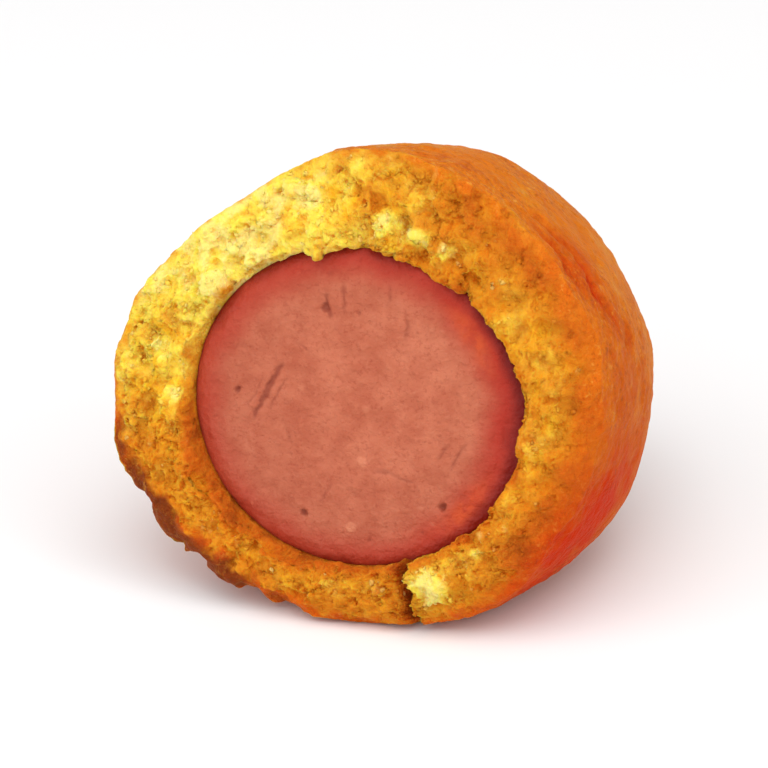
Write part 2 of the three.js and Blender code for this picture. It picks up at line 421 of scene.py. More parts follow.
# %% The face and the shoulder against the sausage
SHOULDER, SHOULDER_WIDER = 0.24, 0.14  # the shoulder's width, and how much more at its widest
WIDER_AT, WIDER_POWER = math.radians(200), 1.5
SHOULDER_BITE = 0.08  # how far the batter's wall reaches into the sausage
SHOULDER_FOOT = 0.45  # how far behind the cut the shoulder meets the sausage
LAP_WAVES = ((9, 0.1, 1.0), (16, 0.08, -0.7), (29, 0.05, 0.3), (47, 0.04, 1.9))
LAPS = (  # degrees, width in degrees and reach of single crumbs; below 0 they stand back
    (110, 6, 0.5), (68, 7, 0.3), (46, 8, -0.25), (-58, 8, 0.35), (150, 10, 0.2), (12, 12, -0.12),
)


def lap(angle):
    """How far the crumb laps over the sausage's edge."""
    reach = waves(LAP_WAVES, angle)
    for degrees, width, far in LAPS:
        reach = reach + far * bell_round(angle, degrees, width)
    return reach


def shoulder_width(angle):
    return SHOULDER + SHOULDER_WIDER * np.maximum(0, np.cos(angle - WIDER_AT)) ** WIDER_POWER


def face_point(angle, share):
    """A point of the torn face: share 0 is the crust's rim, and 1 the start of the shoulder."""
    rim = outer_point(angle, rim_along(angle))
    inner = sausage_radius(angle) + shoulder_width(angle)
    x = mix(rim[:, 0], inner * np.cos(angle), share)
    z = mix(rim[:, 2], inner * np.sin(angle) - SAUSAGE_DROP, share)
    from_rim = np.hypot(x - rim[:, 0], z - rim[:, 2])
    roll = edge_roll(angle) * np.exp(-from_rim / EDGE_ROLL_WIDTH)
    height = dome_height(clumps, x, z) - dome_height(hollows, x, z)
    along = break_plane(x, z) + roll - height * (1 - np.exp(-from_rim))
    return np.stack([x, along, z], -1), from_rim


def shoulder_point(angle, turn):
    """The shoulder turns from the face, at turn 0, to the sausage's side, at turn 1."""
    start, _ = face_point(angle, 1)
    bow = turn * math.pi / 2
    width = shoulder_width(angle)
    inwards = (width + SHOULDER_BITE) * math.sin(bow)
    r = sausage_radius(angle) + width - inwards - lap(angle) * math.sin(turn * math.pi)
    x, z = r * np.cos(angle), r * np.sin(angle)
    foot = sausage_plane(x, z) + SHOULDER_FOOT
    return np.stack([x, mix(start[:, 1], foot, 1 - math.cos(bow)), z - SAUSAGE_DROP], -1)


# %% [markdown]
# ## The batter's skin
#
# The torn face has rings of many points, about a tenth of a millimetre apart, because its grains
# are that fine. The crust needs fewer, and the pocket, which the sausage hides, needs next to none.

# %% Keeping the rings
FINE, MEDIUM, PLAIN = ((768, 384, 96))  # face, crust and pocket
FACE_ROWS, SHOULDER_ROWS, RIM_ROWS, CRUST_ROWS = ((54, 10, 9, 92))
RIM_DEPTH = 1.3  # the fine rows run this far past the rim onto the crust
COARSER_FROM, COARSEST_FROM = 0.72, 0.9  # shares of the crust's rows
FOOT_FADE = 8  # a high power keeps the relief until just above the shoulder's foot
HIDDEN, ON_SHOULDER = 9, 6  # marks that stand for a distance from the rim

rings, rim_distances, reliefs = [], [], []


def add_ring(points, from_rim, relief=1.0):
    """Keeps a ring, its distance from the rim, which is below 0 on the crust, and how much of
    the fine relief it takes."""
    rings.append(points)
    rim_distances.append(np.broadcast_to(from_rim, len(points)).astype(float))
    reliefs.append(np.full(len(points), relief))


def pocket_radius(angle):
    return sausage_radius(angle) - SHOULDER_BITE


# %% All the rings of the batter, from the pocket's tip to the crust's
tip_along, pocket_tip = WIDEST_AT + END_LENGTH, SAUSAGE_DEPTH + POCKET_GAP
for turn in (0.8, 0.6, 0.4, 0.2, 0.0):
    add_ring(round_end(turns(PLAIN), turn, pocket_radius, pocket_tip), HIDDEN, 0)
for count, share in ((PLAIN, 0.5), (PLAIN * 2, 0.2), (MEDIUM, 0.05)):
    wall = round_end(turns(count), 0, pocket_radius, pocket_tip)
    add_ring(mix(shoulder_point(turns(count), 1), wall, share), HIDDEN, 0)
for row in range(SHOULDER_ROWS):
    turn = 1 - row / SHOULDER_ROWS
    add_ring(shoulder_point(turns(FINE), turn), ON_SHOULDER, 1 - turn**FOOT_FADE)
for row in range(FACE_ROWS + 1):
    add_ring(*face_point(turns(FINE), 1 - row / FACE_ROWS))
rim = rim_along(turns(FINE))
for row in range(RIM_ROWS):
    back = RIM_DEPTH * (row + 1) / RIM_ROWS
    add_ring(outer_point(turns(FINE), rim + back), -back)
for row in range(1, CRUST_ROWS):
    share = row / CRUST_ROWS
    coarser = 1 if share < COARSER_FROM else 2 if share < COARSEST_FROM else 4
    rim = rim_along(turns(MEDIUM // coarser))
    along = mix(rim + RIM_DEPTH, tip_along, math.sin(share * math.pi / 2))
    add_ring(outer_point(turns(MEDIUM // coarser), along), rim - along)

crust_tip = outer_point(np.array([0.0]), np.array([tip_along]))
points, faces = skin([0, pocket_tip, -SAUSAGE_DROP], rings, crust_tip)
from_rim = np.concatenate([[HIDDEN], *rim_distances, [-END_LENGTH]])
relief = np.concatenate([[0], *reliefs, [1]])
angle = np.arctan2(points[:, 2] + SAUSAGE_DROP, points[:, 0])
print("batter:", len(points), "points,", sum(len(face) - 2 for face in faces), "triangles")


# %% Meshes and their outward directions
def new_mesh(name, points, faces):
    mesh = bpy.data.meshes.new(name)
    mesh.from_pydata((points * MM).tolist(), [], faces)
    halves = [face[:3] for face in faces]
    halves += [(face[0], face[2], face[3]) for face in faces if len(face) == 4]
    corners = points[halves]
    volume = np.einsum("ij,ij->i", corners[:, 0], np.cross(corners[:, 1], corners[:, 2])).sum()
    if volume < 0:
        mesh.flip_normals()
    mesh.update()
    mesh.shade_smooth()
    return mesh


def directions(points, faces):
    """The outward direction of the surface at each point."""
    mesh = new_mesh("measure", points, faces)
    out = np.empty(len(points) * 3)
    mesh.vertices.foreach_get("normal", out)
    bpy.data.meshes.remove(mesh)
    return out.reshape(-1, 3)


# %% [markdown]
# ## Where crumb ends and crust begins
#
# The line between them is never clean. A noise moves it to and fro, and along the top the crumb
# spills a little way over the rim. The grains of the torn face follow this share, so they die out
# on the crust.

# %% Share of crumb
SPILL_TOP, SPILL_UPPER_LEFT, CRUST_OVER_LOWER_LEFT = 0.55, 0.2, 1.9  # how far the line moves
RAGGED, RAGGED_MORE = 0.4, 0.5  # how far the noise moves it, and how much more in some places
FADE_START, FADE_END = -0.15, 0.75


def near(degrees, width):
    """1 for points in this direction round the axis, and less to both sides."""
    return bell_round(angle, degrees, width)


seen = from_rim < HIDDEN  # all but the hidden pocket
at_top, upper_left, lower_left, at_right = near(80, 35), near(135, 48), near(-130, 30), near(0, 50)
ragged = np.zeros(len(points))
ragged[seen] = cloud(points[seen], size=0.9, octaves=3, seed=1)
line = from_rim + ragged * (RAGGED + RAGGED_MORE * at_top + RAGGED_MORE * lower_left)
line += SPILL_TOP * at_top + SPILL_UPPER_LEFT * upper_left - CRUST_OVER_LOWER_LEFT * lower_left
fade_end = FADE_END + 0.5 * at_top + 0.9 * at_right - 0.3 * upper_left
crumb_share = seen * smooth(line, FADE_START, fade_end)
torn = np.flatnonzero((crumb_share > 0.01) & seen)
print("torn face:", len(torn), "points")

# %% [markdown]
# ## Clumps, grains and pores
#
# Three sizes of cells make clumps, grains and grit, with creases between them, as real crumbs have.
# A smoother noise makes the crumb fluffy, and another says where it is loose and where it is dense,
# because even relief all over looks like plaster. Bubbles in the batter leave pores: a few large
# ones and many small ones, none of them quite round, which is why their places are read through a
# drifting noise.

# %% Places that differ from the rest of the crumb
PALE_CLUMPS = (  # x, z, radius and strength of clumps that stand proud and are paler, partly as painted highlight
    (-4.3, 11.5, 1.0, 0.8), (-7.9, 8.1, 1.1, 0.6), (0.4, 10.9, 1.0, 1.0), (2.7, 10.4, 0.9, 1.0),
    (4.3, 9.9, 0.8, 0.9), (-12.1, 0.6, 1.0, 0.9), (-10.9, -2.0, 0.9, 0.8), (6.7, -10.5, 1.5, 1.2),
    (9.3, -7.8, 0.8, 0.6), (10.8, -6.0, 0.7, 0.5), (1.0, -11.5, 1.4, 0.5),
)
AMBER_PLACES = (  # x, z, radius and strength of places that are more amber than the rest
    (-11.6, 2.6, 1.4, 0.6), (-5.7, 9.5, 1.4, 0.6), (-0.9, 12.0, 1.3, 0.6),
)


def patches(entries, places):
    return dome_height(entries, places[:, 0], places[:, 2])


torn_place = points[torn]
drift = drifting(torn_place, size=0.9, seeds=(2, 3, 4), octaves=3)
loose = mix(0.55, 1, smooth(cloud(torn_place, size=2.6, octaves=2, seed=9), -0.3, 0.4))
fluff = cloud(torn_place, size=0.9, octaves=4, seed=24)
pale_clump = smooth(patches(PALE_CLUMPS, torn_place + drift * 0.3) + 0.3 * fluff, 0.12, 0.95)

# %% Clumps, grains and grit
CLUMP_SIZE, GRAIN_SIZE, GRIT_SIZE = 1.5, 0.66, 0.31
CLUMP_HEIGHT, GRAIN_HEIGHT, GRIT_HEIGHT = 0.26, 0.13, 0.04
FLUFF_HEIGHT, PALE_HEIGHT, SIDEWAYS = 0.16, 0.15, 0.16
FACE_LIFT = 0.08  # makes up for the creases, so that the face keeps about the solid's level

out = directions(points, faces)[torn]
amount = crumb_share[torn] * relief[torn]
# The crumb is calmer at the right and upper right, and along the rim at the upper left.
amount *= 1 - 0.45 * near(0, 45)[torn] - 0.25 * near(48, 22)[torn]
amount *= 1 - 0.85 * upper_left[torn] * smooth(1.1 - from_rim[torn], 0, 1)
clump = Grains(torn_place + drift * 0.5, CLUMP_SIZE, seed=1)
grain = Grains(torn_place + drift * 0.25, GRAIN_SIZE, seed=2)
grit = Grains(torn_place + drift * 0.1, GRIT_SIZE, seed=3)
broken = CLUMP_HEIGHT * clump.rubble(0.5) + GRAIN_HEIGHT * loose * grain.rubble(0.6)
broken += GRIT_HEIGHT * loose * grit.rubble(0.8)
broken += FLUFF_HEIGHT * fluff + PALE_HEIGHT * pale_clump + FACE_LIFT
points[torn] += out * (broken * amount)[:, None] + drift * (SIDEWAYS * amount)[:, None]

# %% Pores
PORE_STEEPNESS, HOLE_DEPTH = 1.3, 0.32
rng = np.random.default_rng(7)


def scatter_pores(count, smallest, largest, sharpness):
    """Pores over the torn ring: x, z, radius and depth. A high sharpness makes most small."""
    turn, share = rng.uniform(0, 2 * math.pi, count), rng.uniform(0.0, 1.0, count)
    distance = mix(sausage_radius(turn) + 0.5, outer_radius(turn, 0) - 0.5, share)
    radius = mix(smallest, largest, rng.uniform(0, 1, count) ** sharpness)
    x, z = distance * np.cos(turn), distance * np.sin(turn) - SAUSAGE_DROP * 0.5
    return np.stack([x, z, radius, radius * PORE_STEEPNESS], -1)


large_pores = scatter_pores(count=40, smallest=0.2, largest=0.5, sharpness=2.0)
small_pores = scatter_pores(count=160, smallest=0.12, largest=0.24, sharpness=1.0)
ragged_edge = drifting(torn_place, size=0.3, seeds=(26, 27, 28), octaves=2)
pore_place = torn_place + drift * 0.35 + ragged_edge * 0.2
pores = np.vstack([large_pores, small_pores])
pore_depth = dome_height(pores, pore_place[:, 0], pore_place[:, 2], power=0.5)
pore_depth *= 1 - 0.85 * upper_left[torn]
holes = smooth(cloud(torn_place + drift * 0.2, size=0.7, octaves=3, seed=22), 0.28, 0.6) * loose
pore_depth = np.maximum(pore_depth, HOLE_DEPTH * holes) * smooth(from_rim[torn], 0.2, 0.8)
points[torn, 1] += pore_depth * amount
print("pores:", len(pores), "deepest:", pore_depth.max().round(2), "mm")

# %% [markdown]
# ## The crack and the ragged edge
#
# Low on the ring the crumb split from the sausage out to the crust, and its left side sank. A large
# pale clump stands at the right of the split. At the lower left the crust broke unevenly, with
# notches.

# %% Crack
CRACK_START, CRACK_END = (4.6, -9.2), (5.5, -14.4)  # from the sausage to the crust
CRACK_HALF_WIDTH, CRACK_DEPTH, CRACK_WANDER = 0.42, 1.6, 0.3
SUNK_SIDE, SUNK_WIDTH = 0.35, 1.3
CRACK_BELOW, CRACK_BEFORE = -7, 6  # only points lower and further forward than this can crack

could_crack = seen & (points[:, 2] < CRACK_BELOW) & (points[:, 1] < CRACK_BEFORE)
near_crack = np.flatnonzero(could_crack & (from_rim > -RIM_DEPTH))
place = points[near_crack]
(x0, z0), (x1, z1) = CRACK_START, CRACK_END
length = math.hypot(x1 - x0, z1 - z0)
aside = ((place[:, 0] - x0) * (z1 - z0) - (place[:, 2] - z0) * (x1 - x0)) / -length
aside += CRACK_WANDER * cloud(place, size=0.9, octaves=3, seed=15)
split = np.maximum(0, 1 - (aside / CRACK_HALF_WIDTH) ** 2) ** 0.5
sunk = SUNK_SIDE * np.exp(-np.maximum(0, -aside) / SUNK_WIDTH) * smooth(-aside, -0.1, 0.2)
held = smooth(from_rim[near_crack], -RIM_DEPTH, 0.2) * relief[near_crack]
points[near_crack, 1] += (CRACK_DEPTH * split + sunk) * held

# %% Notches in the crust's edge
NOTCH_DEPTH = 0.7

notched = near(-124, 30)
edge = np.flatnonzero((notched > 0.05) & (np.abs(from_rim) < RIM_DEPTH))
place = points[edge] * (1, 0.3, 1)  # notches run further along the axis than round it
notch = smooth(cloud(place, size=1.5, octaves=2, seed=21), -0.05, 0.35) * notched[edge]
notch *= 1 - np.abs(from_rim[edge]) / RIM_DEPTH
points[edge, 0] -= NOTCH_DEPTH * notch * np.cos(angle[edge])
points[edge, 2] -= NOTCH_DEPTH * notch * np.sin(angle[edge])
print("crack:", round(length, 1), "mm long; notched edge:", len(edge), "points")

# %% [markdown]
# ## The crust
#
# Hot oil sets the outside of the batter at once. It is nearly smooth, with a slow swell, shallow
# dimples, and the low pebbles and grit of the cornmeal. At the upper right the skin set while the
# batter still moved, and it lies in a few short folds.

# %% Swell, dimples, pebbles and folds
SWELL_HEIGHT, DIMPLE_DEPTH, PEBBLE_HEIGHT, GRIT_ON_CRUST = 0.17, 0.13, 0.07, 0.05
FOLDS = (  # degrees round, distance behind the rim, half length in degrees, and depth
    (49, 1.5, 8, 0.3), (38, 3.3, 8, 0.26), (57, 3.0, 7, 0.2), (27, 5.0, 8, 0.2),
)
FOLD_WIDTH, RIDGE_SHARE, RIDGE_BEHIND, RIDGE_WIDTH = 0.42, 0.5, 0.9, 0.6

crust = np.flatnonzero(seen & (crumb_share < 0.99))
place = points[crust]
out = directions(points, faces)[crust]
dimple = Grains(place, size=1.9, seed=4)
dimples = -DIMPLE_DEPTH * smooth(dimple.inside, 0.1, 0.6) * (dimple.own > 0.6)
swell = SWELL_HEIGHT * cloud(place, size=4.5, octaves=3, seed=6)
crust_drift = drifting(place, size=1.1, seeds=(41, 42, 43), octaves=2)
pebble = Grains(place + crust_drift * 0.35, size=0.95, seed=5)
meal = PEBBLE_HEIGHT * smooth(pebble.inside, 0, 0.55) * pebble.own
meal += GRIT_ON_CRUST * cloud(place, size=0.7, octaves=2, seed=8)
folds = np.zeros(len(place))
for degrees, behind, half_length, deep in FOLDS:
    across = -from_rim[crust] - behind - 0.5 * crust_drift[:, 0]
    section = bell(across, 0, FOLD_WIDTH) - RIDGE_SHARE * bell(across, RIDGE_BEHIND, RIDGE_WIDTH)
    folds += deep * near(degrees, half_length)[crust] * section
points[crust] += out * ((swell + meal + dimples - folds) * (1 - crumb_share[crust]))[:, None]
print("crust:", len(crust), "points")

# %% [markdown]
# ## What the batter's material has to know
#
# Six numbers are kept at each point: how much crumb it is, its tone from dull to pale, which also
# holds painted light, how deep it lies, which sets painted shade, how amber the crumb is, with
# painted shade added, how far the crust has browned, with painted shade added, and where it is
# toasted. Kept as attributes, they follow the shape exactly.

# %% Tone and depth
lying_points = lie_down(points)
pale, tone, depth = np.zeros(len(points)), np.zeros(len(points)), np.zeros(len(points))
pale[torn] = pale_clump
blotch = 0.5 + 0.7 * cloud(torn_place * (1.3, 1, 0.8), size=1.3, octaves=2, seed=25)
tone[torn] = 0.55 * blotch + 0.2 * clump.own + 0.15 * grain.own + 0.1 * grit.own
# Pale clumps are paler, partly as painted highlight, and the upper left of the face is painted
# lighter, as painted light.
tone += 0.6 * pale + 0.55 * near(137, 32)

# Painted shade: by this depth the crumb is painted orange in the creases between its grains, in its
# low places and in its pores.
crease_shares = ((clump, 0.45), (grain, 0.35), (grit, 0.2))
creases = sum(share * smooth(size.inside, 0.3, 0) for size, share in crease_shares)
deep_places = 0.8 * smooth(pore_depth, 0, 0.5) + 0.7 * smooth(-broken, 0, 0.4)
depth[torn] = np.clip(0.4 * creases + deep_places, 0, 1)
# Less painted shade at the upper left, which is painted lighter.
depth[torn] *= 1 - 0.5 * near(145, 60)[torn]
# Painted shade: the crack is painted dark.
in_crack = smooth(split, 0.1, 0.6) * (held > 0.1)
depth[near_crack] = np.maximum(depth[near_crack], in_crack)

# %% How amber the crumb is, with painted shade on its wall and in the crack
AMBER_ROUND = (  # degrees round the axis, and how amber the crumb is there
    (-180, 0.25), (-155, 0.95), (-110, 0.98), (-85, 0.82), (-60, 0.55), (-30, 0.85), (0, 0.52),
    (40, 0.62), (65, 0.88), (90, 0.4), (115, 0.1), (160, 0.15), (180, 0.25),
)
SOAKED_RIM = (  # degrees, width, strength, how far in from the rim, and how softly it ends
    (48, 50, 0.7, 2.8, 2.4), (-8, 40, 0.6, 3.0, 2.6), (-24, 16, 0.4, 3.4, 2.6),
)
WALL_SHADE, WALL_WIDTH = 0.75, 0.8  # painted shade on the crumb's wall beside the sausage

amber_and_shade = np.interp(np.degrees(angle), *zip(*AMBER_ROUND))
amber_and_shade += 0.3 * cloud(points, size=1.8, octaves=3, seed=31) - 0.7 * pale
amber_and_shade[torn] += 0.4 * (clump.own - 0.5) + 0.2 * (grain.own - 0.5)
amber_and_shade[torn] += patches(AMBER_PLACES, torn_place + drift * 0.5)
# Painted light: less amber at the upper left.
amber_and_shade -= 0.25 * near(137, 28)
for degrees, width, strength, reach, softness in SOAKED_RIM:
    amber_and_shade += strength * near(degrees, width) * smooth(reach - from_rim, 0, softness)
# Painted shade in the crack and on the sunk crumb to its left.
amber_and_shade[near_crack] += 1.3 * in_crack + 0.6 * bell(aside, -0.5, 0.7) * (held > 0.1)
gap = np.hypot(points[:, 0], points[:, 2] + SAUSAGE_DROP) - sausage_radius(angle)
gap -= 0.25 * cloud(points, size=0.9, octaves=2, seed=34)
# Painted shade on the crumb's wall beside the sausage, less at the top.
amber_and_shade += WALL_SHADE * smooth(WALL_WIDTH - gap, 0, WALL_WIDTH) * (1 - 0.6 * near(80, 45))

# %% Browning, painted shade and toasting
SHADED_BELOW, LIT_ABOVE = 3, 26  # painted shade: the crust is palest above and brownest below these heights

upness = smooth(lying_points[:, 2], SHADED_BELOW, LIT_ABOVE)
# Browner below, as painted shade; brownest at the rim of the upper right, in the folds, as painted
# shade, and low at the right, partly fry colour and partly painted shade.
browning_and_shade = 0.66 - 0.42 * upness + 0.16 * cloud(points, size=5.0, octaves=3, seed=32)
browning_and_shade += 0.15 * at_top + 0.5 * near(43, 18) * bell(from_rim, -2.8, 2.4)
# Painted shade: the grooves of the folds are browner.
browning_and_shade[crust] += 1.6 * np.maximum(0, folds)
# Painted shade, partly fry colour: the crust is reddest low at the right.
red_fry_and_shade = near(-24, 27) * bell(from_rim, -4, 5)
browning_and_shade += 0.78 * red_fry_and_shade * (1 + 0.5 * cloud(points, size=1.5, octaves=3, seed=36))
toasted = near(-136, 30) * bell(from_rim, 0.2, 2.2)
toasted += 0.25 * cloud(points, size=1.6, octaves=3, seed=35)


# %% The batter's mesh, with its numbers
def store(mesh, name, values):
    layer = mesh.attributes.new(name, "FLOAT", "POINT")
    layer.data.foreach_set("value", np.asarray(values, dtype=np.float32))


def piece_with(name, points, faces, known, highest):
    """A piece whose mesh keeps each of the known numbers, from 0 to the highest, at its points."""
    mesh = new_mesh(name, points, faces)
    for number, values in known.items():
        store(mesh, number, np.clip(values, 0, highest))
    return add_object(name, mesh)


fried_batter = piece_with("fried_batter", lying_points, faces, {
    "crumb": crumb_share, "tone": tone, "depth": depth,
    "amber_and_shade": amber_and_shade, "browning_and_shade": browning_and_shade, "toasted": toasted,
}, highest=2)

# %% [markdown]
# ## The cut sausage
#
# The knife leaves a nearly flat face of fine meat paste: faint waves, small pits where an air
# bubble was cut, specks of fat, and a few scratches and bent marks where the knife dragged. The
# edge is round, because the skin pulls the paste in as it cooks.

# %% Face, edge, side and hidden end
SAUSAGE_FINE = 384
CUT_ROWS, CUT_EDGE_ROWS = 84, 12

rings = []
for row in range(CUT_ROWS):
    share = (row + 1) / CUT_ROWS
    coarser = 1 if share > 0.5 else 2 if share > 0.25 else 4 if share > 0.1 else 8
    rings.append(cut_point(turns(SAUSAGE_FINE // coarser), share))
for row in range(CUT_EDGE_ROWS):
    rings.append(edge_point(turns(SAUSAGE_FINE), (row + 1) / CUT_EDGE_ROWS))
for coarser, turn in ((2, 0.0), (4, 0.25), (4, 0.5), (4, 0.75)):
    around = turns(SAUSAGE_FINE // coarser)
    rings.append(round_end(around, turn, sausage_radius, SAUSAGE_DEPTH))
cut_middle = cut_point(np.array([0.0]), 0)
meat, meat_faces = skin(cut_middle, rings, [0, SAUSAGE_DEPTH, -SAUSAGE_DROP])
print("sausage:", len(meat), "points,", sum(len(face) - 2 for face in meat_faces), "triangles")

# %% Waves, pits and specks of fat
LARGER_PITS = (  # x, z, radius and depth
    (-7.3, -0.3, 0.24, 0.2), (-2.7, 5.8, 0.28, 0.22), (-2.2, -7.0, 0.28, 0.24),
    (6.0, -5.1, 0.32, 0.28),
)
LARGER_SPECKS = (  # x, z, radius and height
    (0.8, -3.2, 0.34, 0.05), (0.8, -7.3, 0.34, 0.06), (0.6, 0.1, 0.26, 0.03),
    (-3.4, 0.6, 0.2, 0.03),
)
WAVE_HEIGHT, PASTE_HEIGHT = 0.06, 0.045
CUT_REACH, CUT_BEFORE = 1.02, 6  # the cut is within this share of the radius and this far along

meat_x, meat_z = meat[:, 0], meat[:, 2] + SAUSAGE_DROP
from_middle = np.hypot(meat_x, meat_z) / (SAUSAGE_DIAMETER / 2)
cut = np.flatnonzero((from_middle < CUT_REACH) & (meat[:, 1] < CUT_BEFORE))
place = meat[cut]
paste = WAVE_HEIGHT * cloud(place, size=3.0, octaves=2, seed=11)
paste += PASTE_HEIGHT * cloud(place, size=0.8, octaves=3, seed=12)


def scatter_on_cut(count, smallest, largest, height):
    """Small round marks over the cut: x, z, radius and height."""
    turn, share = rng.uniform(0, 2 * math.pi, count), np.sqrt(rng.uniform(0, 0.85, count))
    radius = mix(smallest, largest, rng.uniform(0, 1, count) ** 2)
    away = share * SAUSAGE_DIAMETER / 2
    return np.stack([away * np.cos(turn), away * np.sin(turn), radius, radius * height], -1)


wobble = drifting(place, size=0.5, seeds=(13, 14)) * 0.09
pits = np.vstack([scatter_on_cut(26, 0.05, 0.13, 0.8), LARGER_PITS])
specks = np.vstack([scatter_on_cut(24, 0.06, 0.16, 0.15), LARGER_SPECKS])
mark_x, mark_z = meat_x[cut] + wobble[:, 0], meat_z[cut] + wobble[:, 1]
pit_depth = dome_height(pits, mark_x, mark_z)
speck_height = dome_height(specks, mark_x, mark_z, power=0.5)

# %% Scratches and drag marks
SCRATCHES = (  # where each begins and ends on the cut, its width and its depth
    (-4.8, 2.1, -6.2, -2.0, 0.15, 0.11), (-4.3, 1.4, -5.3, -1.2, 0.09, 0.04),
    (-5.6, 1.2, -6.6, -1.4, 0.09, 0.03), (6.9, -0.6, 6.0, -2.9, 0.12, 0.045),
    (5.9, -0.9, 5.2, -2.6, 0.1, 0.04), (-2.0, 7.8, -1.4, 5.4, 0.13, 0.04),
)
DRAG_MARKS = (  # the same, for marks that are bent
    (-2.9, 6.9, -2.2, 5.0, 0.14, 0.06), (-2.5, 8.2, -3.0, 7.2, 0.12, 0.04),
    (-4.4, 3.4, -3.2, 2.5, 0.1, 0.04), (1.2, -3.5, 4.4, -3.8, 0.1, 0.03),
    (0.9, 8.0, 1.1, 6.4, 0.12, 0.035), (2.3, 6.4, 2.3, 4.5, 0.12, 0.035),
    (-4.3, -1.7, -3.7, -3.0, 0.1, 0.035), (-0.9, -4.6, -1.2, -6.5, 0.12, 0.03),
)
MARK_END = 0.8  # how far from its ends a mark reaches its full depth


def scratch_depth(marks, drift):
    """Shallow grooves along lines that the drift bends, each with a small ridge beside it."""
    x, z = meat_x[cut] + drift[:, 0], meat_z[cut] + drift[:, 1]
    total = np.zeros_like(x)
    for x0, z0, x1, z1, width, deep in marks:
        length = math.hypot(x1 - x0, z1 - z0)
        along = ((x - x0) * (x1 - x0) + (z - z0) * (z1 - z0)) / length
        aside = ((x - x0) * (z1 - z0) - (z - z0) * (x1 - x0)) / length / width
        ends = smooth(along, 0, MARK_END) * smooth(length - along, 0, MARK_END)
        total += deep * ends * (bell(aside, 0, 1) - 0.5 * bell(aside, 1.8, 1))
    return total


bend = wobble + drifting(place, size=1.3, seeds=(16, 17)) * 0.22
scratch = scratch_depth(SCRATCHES, wobble) + scratch_depth(DRAG_MARKS, bend)
meat[cut, 1] += -paste + pit_depth + scratch - speck_height

# %% The sausage's mesh, with its numbers
FULLY_PITTED, FULLY_SCRATCHED, FULLY_FATTY = 0.12, 0.055, 0.04  # depths and height in millimetres

pit_and_groove_shade, fatty = np.zeros(len(meat)), np.zeros(len(meat))
scratched = np.maximum(0, scratch) / FULLY_SCRATCHED
# The dark colour of pits and scratch grooves is painted shade.
pit_and_groove_shade[cut] = np.clip(pit_depth / FULLY_PITTED + scratched, 0, 1)
fatty[cut] = np.clip(speck_height / FULLY_FATTY, 0, 1)
meat_angle = np.arctan2(meat_z, meat_x)
# The sausage's painted shade follows this: its rim is darker towards the upper right, where the
# batter's lip shades the edge, and its cut is darker towards the lower left.
shaded_side = 0.5 + 0.5 * np.cos(meat_angle - 0.6)
# Oil shows in two places just inside the skin, at the upper right and the lower right.
oily = 0.9 * bell(meat_angle, 0.72, 0.24) * bell(from_middle, 0.84, 0.06)
oily += 0.85 * bell(meat_angle, -0.58, 0.22) * bell(from_middle, 0.88, 0.06)
cut_sausage = piece_with("cut_sausage", lie_down(meat), meat_faces, {
    "edge": from_middle, "pit_and_groove_shade": pit_and_groove_shade, "fatty": fatty, "shaded": shaded_side, "oily": oily,
}, highest=1.2)

# %% [markdown]
# ## Materials
#
# A food's finish is a mixture of a few plain colours, so the shader is written as sums and
# mixtures. A small class lets numbers that change over the surface be added and multiplied with the
# usual signs.

# %% A class for numbers in a shader
class Signal:
    """A number that changes over the surface. Arithmetic on signals adds Math nodes."""

    def __init__(self, shader, socket):
        self.shader, self.socket = shader, socket

    def _math(self, operation, first, second):
        return self.shader.node("ShaderNodeMath", {"operation": operation}, {0: first, 1: second})

    def __add__(self, other):
        return self._math("ADD", self, other)

    def __radd__(self, other):
        return self._math("ADD", other, self)

    def __sub__(self, other):
        return self._math("SUBTRACT", self, other)

    def __rsub__(self, other):
        return self._math("SUBTRACT", other, self)

    def __mul__(self, other):
        return self._math("MULTIPLY", self, other)

    def __rmul__(self, other):
        return self._math("MULTIPLY", other, self)

    def step(self, low, high):
        """0 at low, 1 at high, and a soft step between. High may be the lower number."""
        sockets = {"Value": self, "From Min": low, "From Max": high}
        return self.shader.node("ShaderNodeMapRange", {"interpolation_type": "SMOOTHSTEP"}, sockets)


# %% Adding a node
def put(tree, socket, value):
    """Links a socket to a signal or to another node's output, or gives it a value of its own."""
    if isinstance(value, Signal):
        value = value.socket
    if isinstance(value, bpy.types.NodeSocket):
        tree.links.new(value, socket)
    elif socket.type == "RGBA" and len(value) == 3:
        socket.default_value = (*value, 1)
    else:
        socket.default_value = value


def add_node(tree, kind, settings, sockets):
    """Adds a node with its settings, and its sockets' values or links. Gives its outputs."""
    node = tree.nodes.new(kind)
    for setting, value in settings.items():
        setattr(node, setting, value)
    for name, value in sockets.items():
        put(tree, node.inputs[name], value)
    return node.outputs


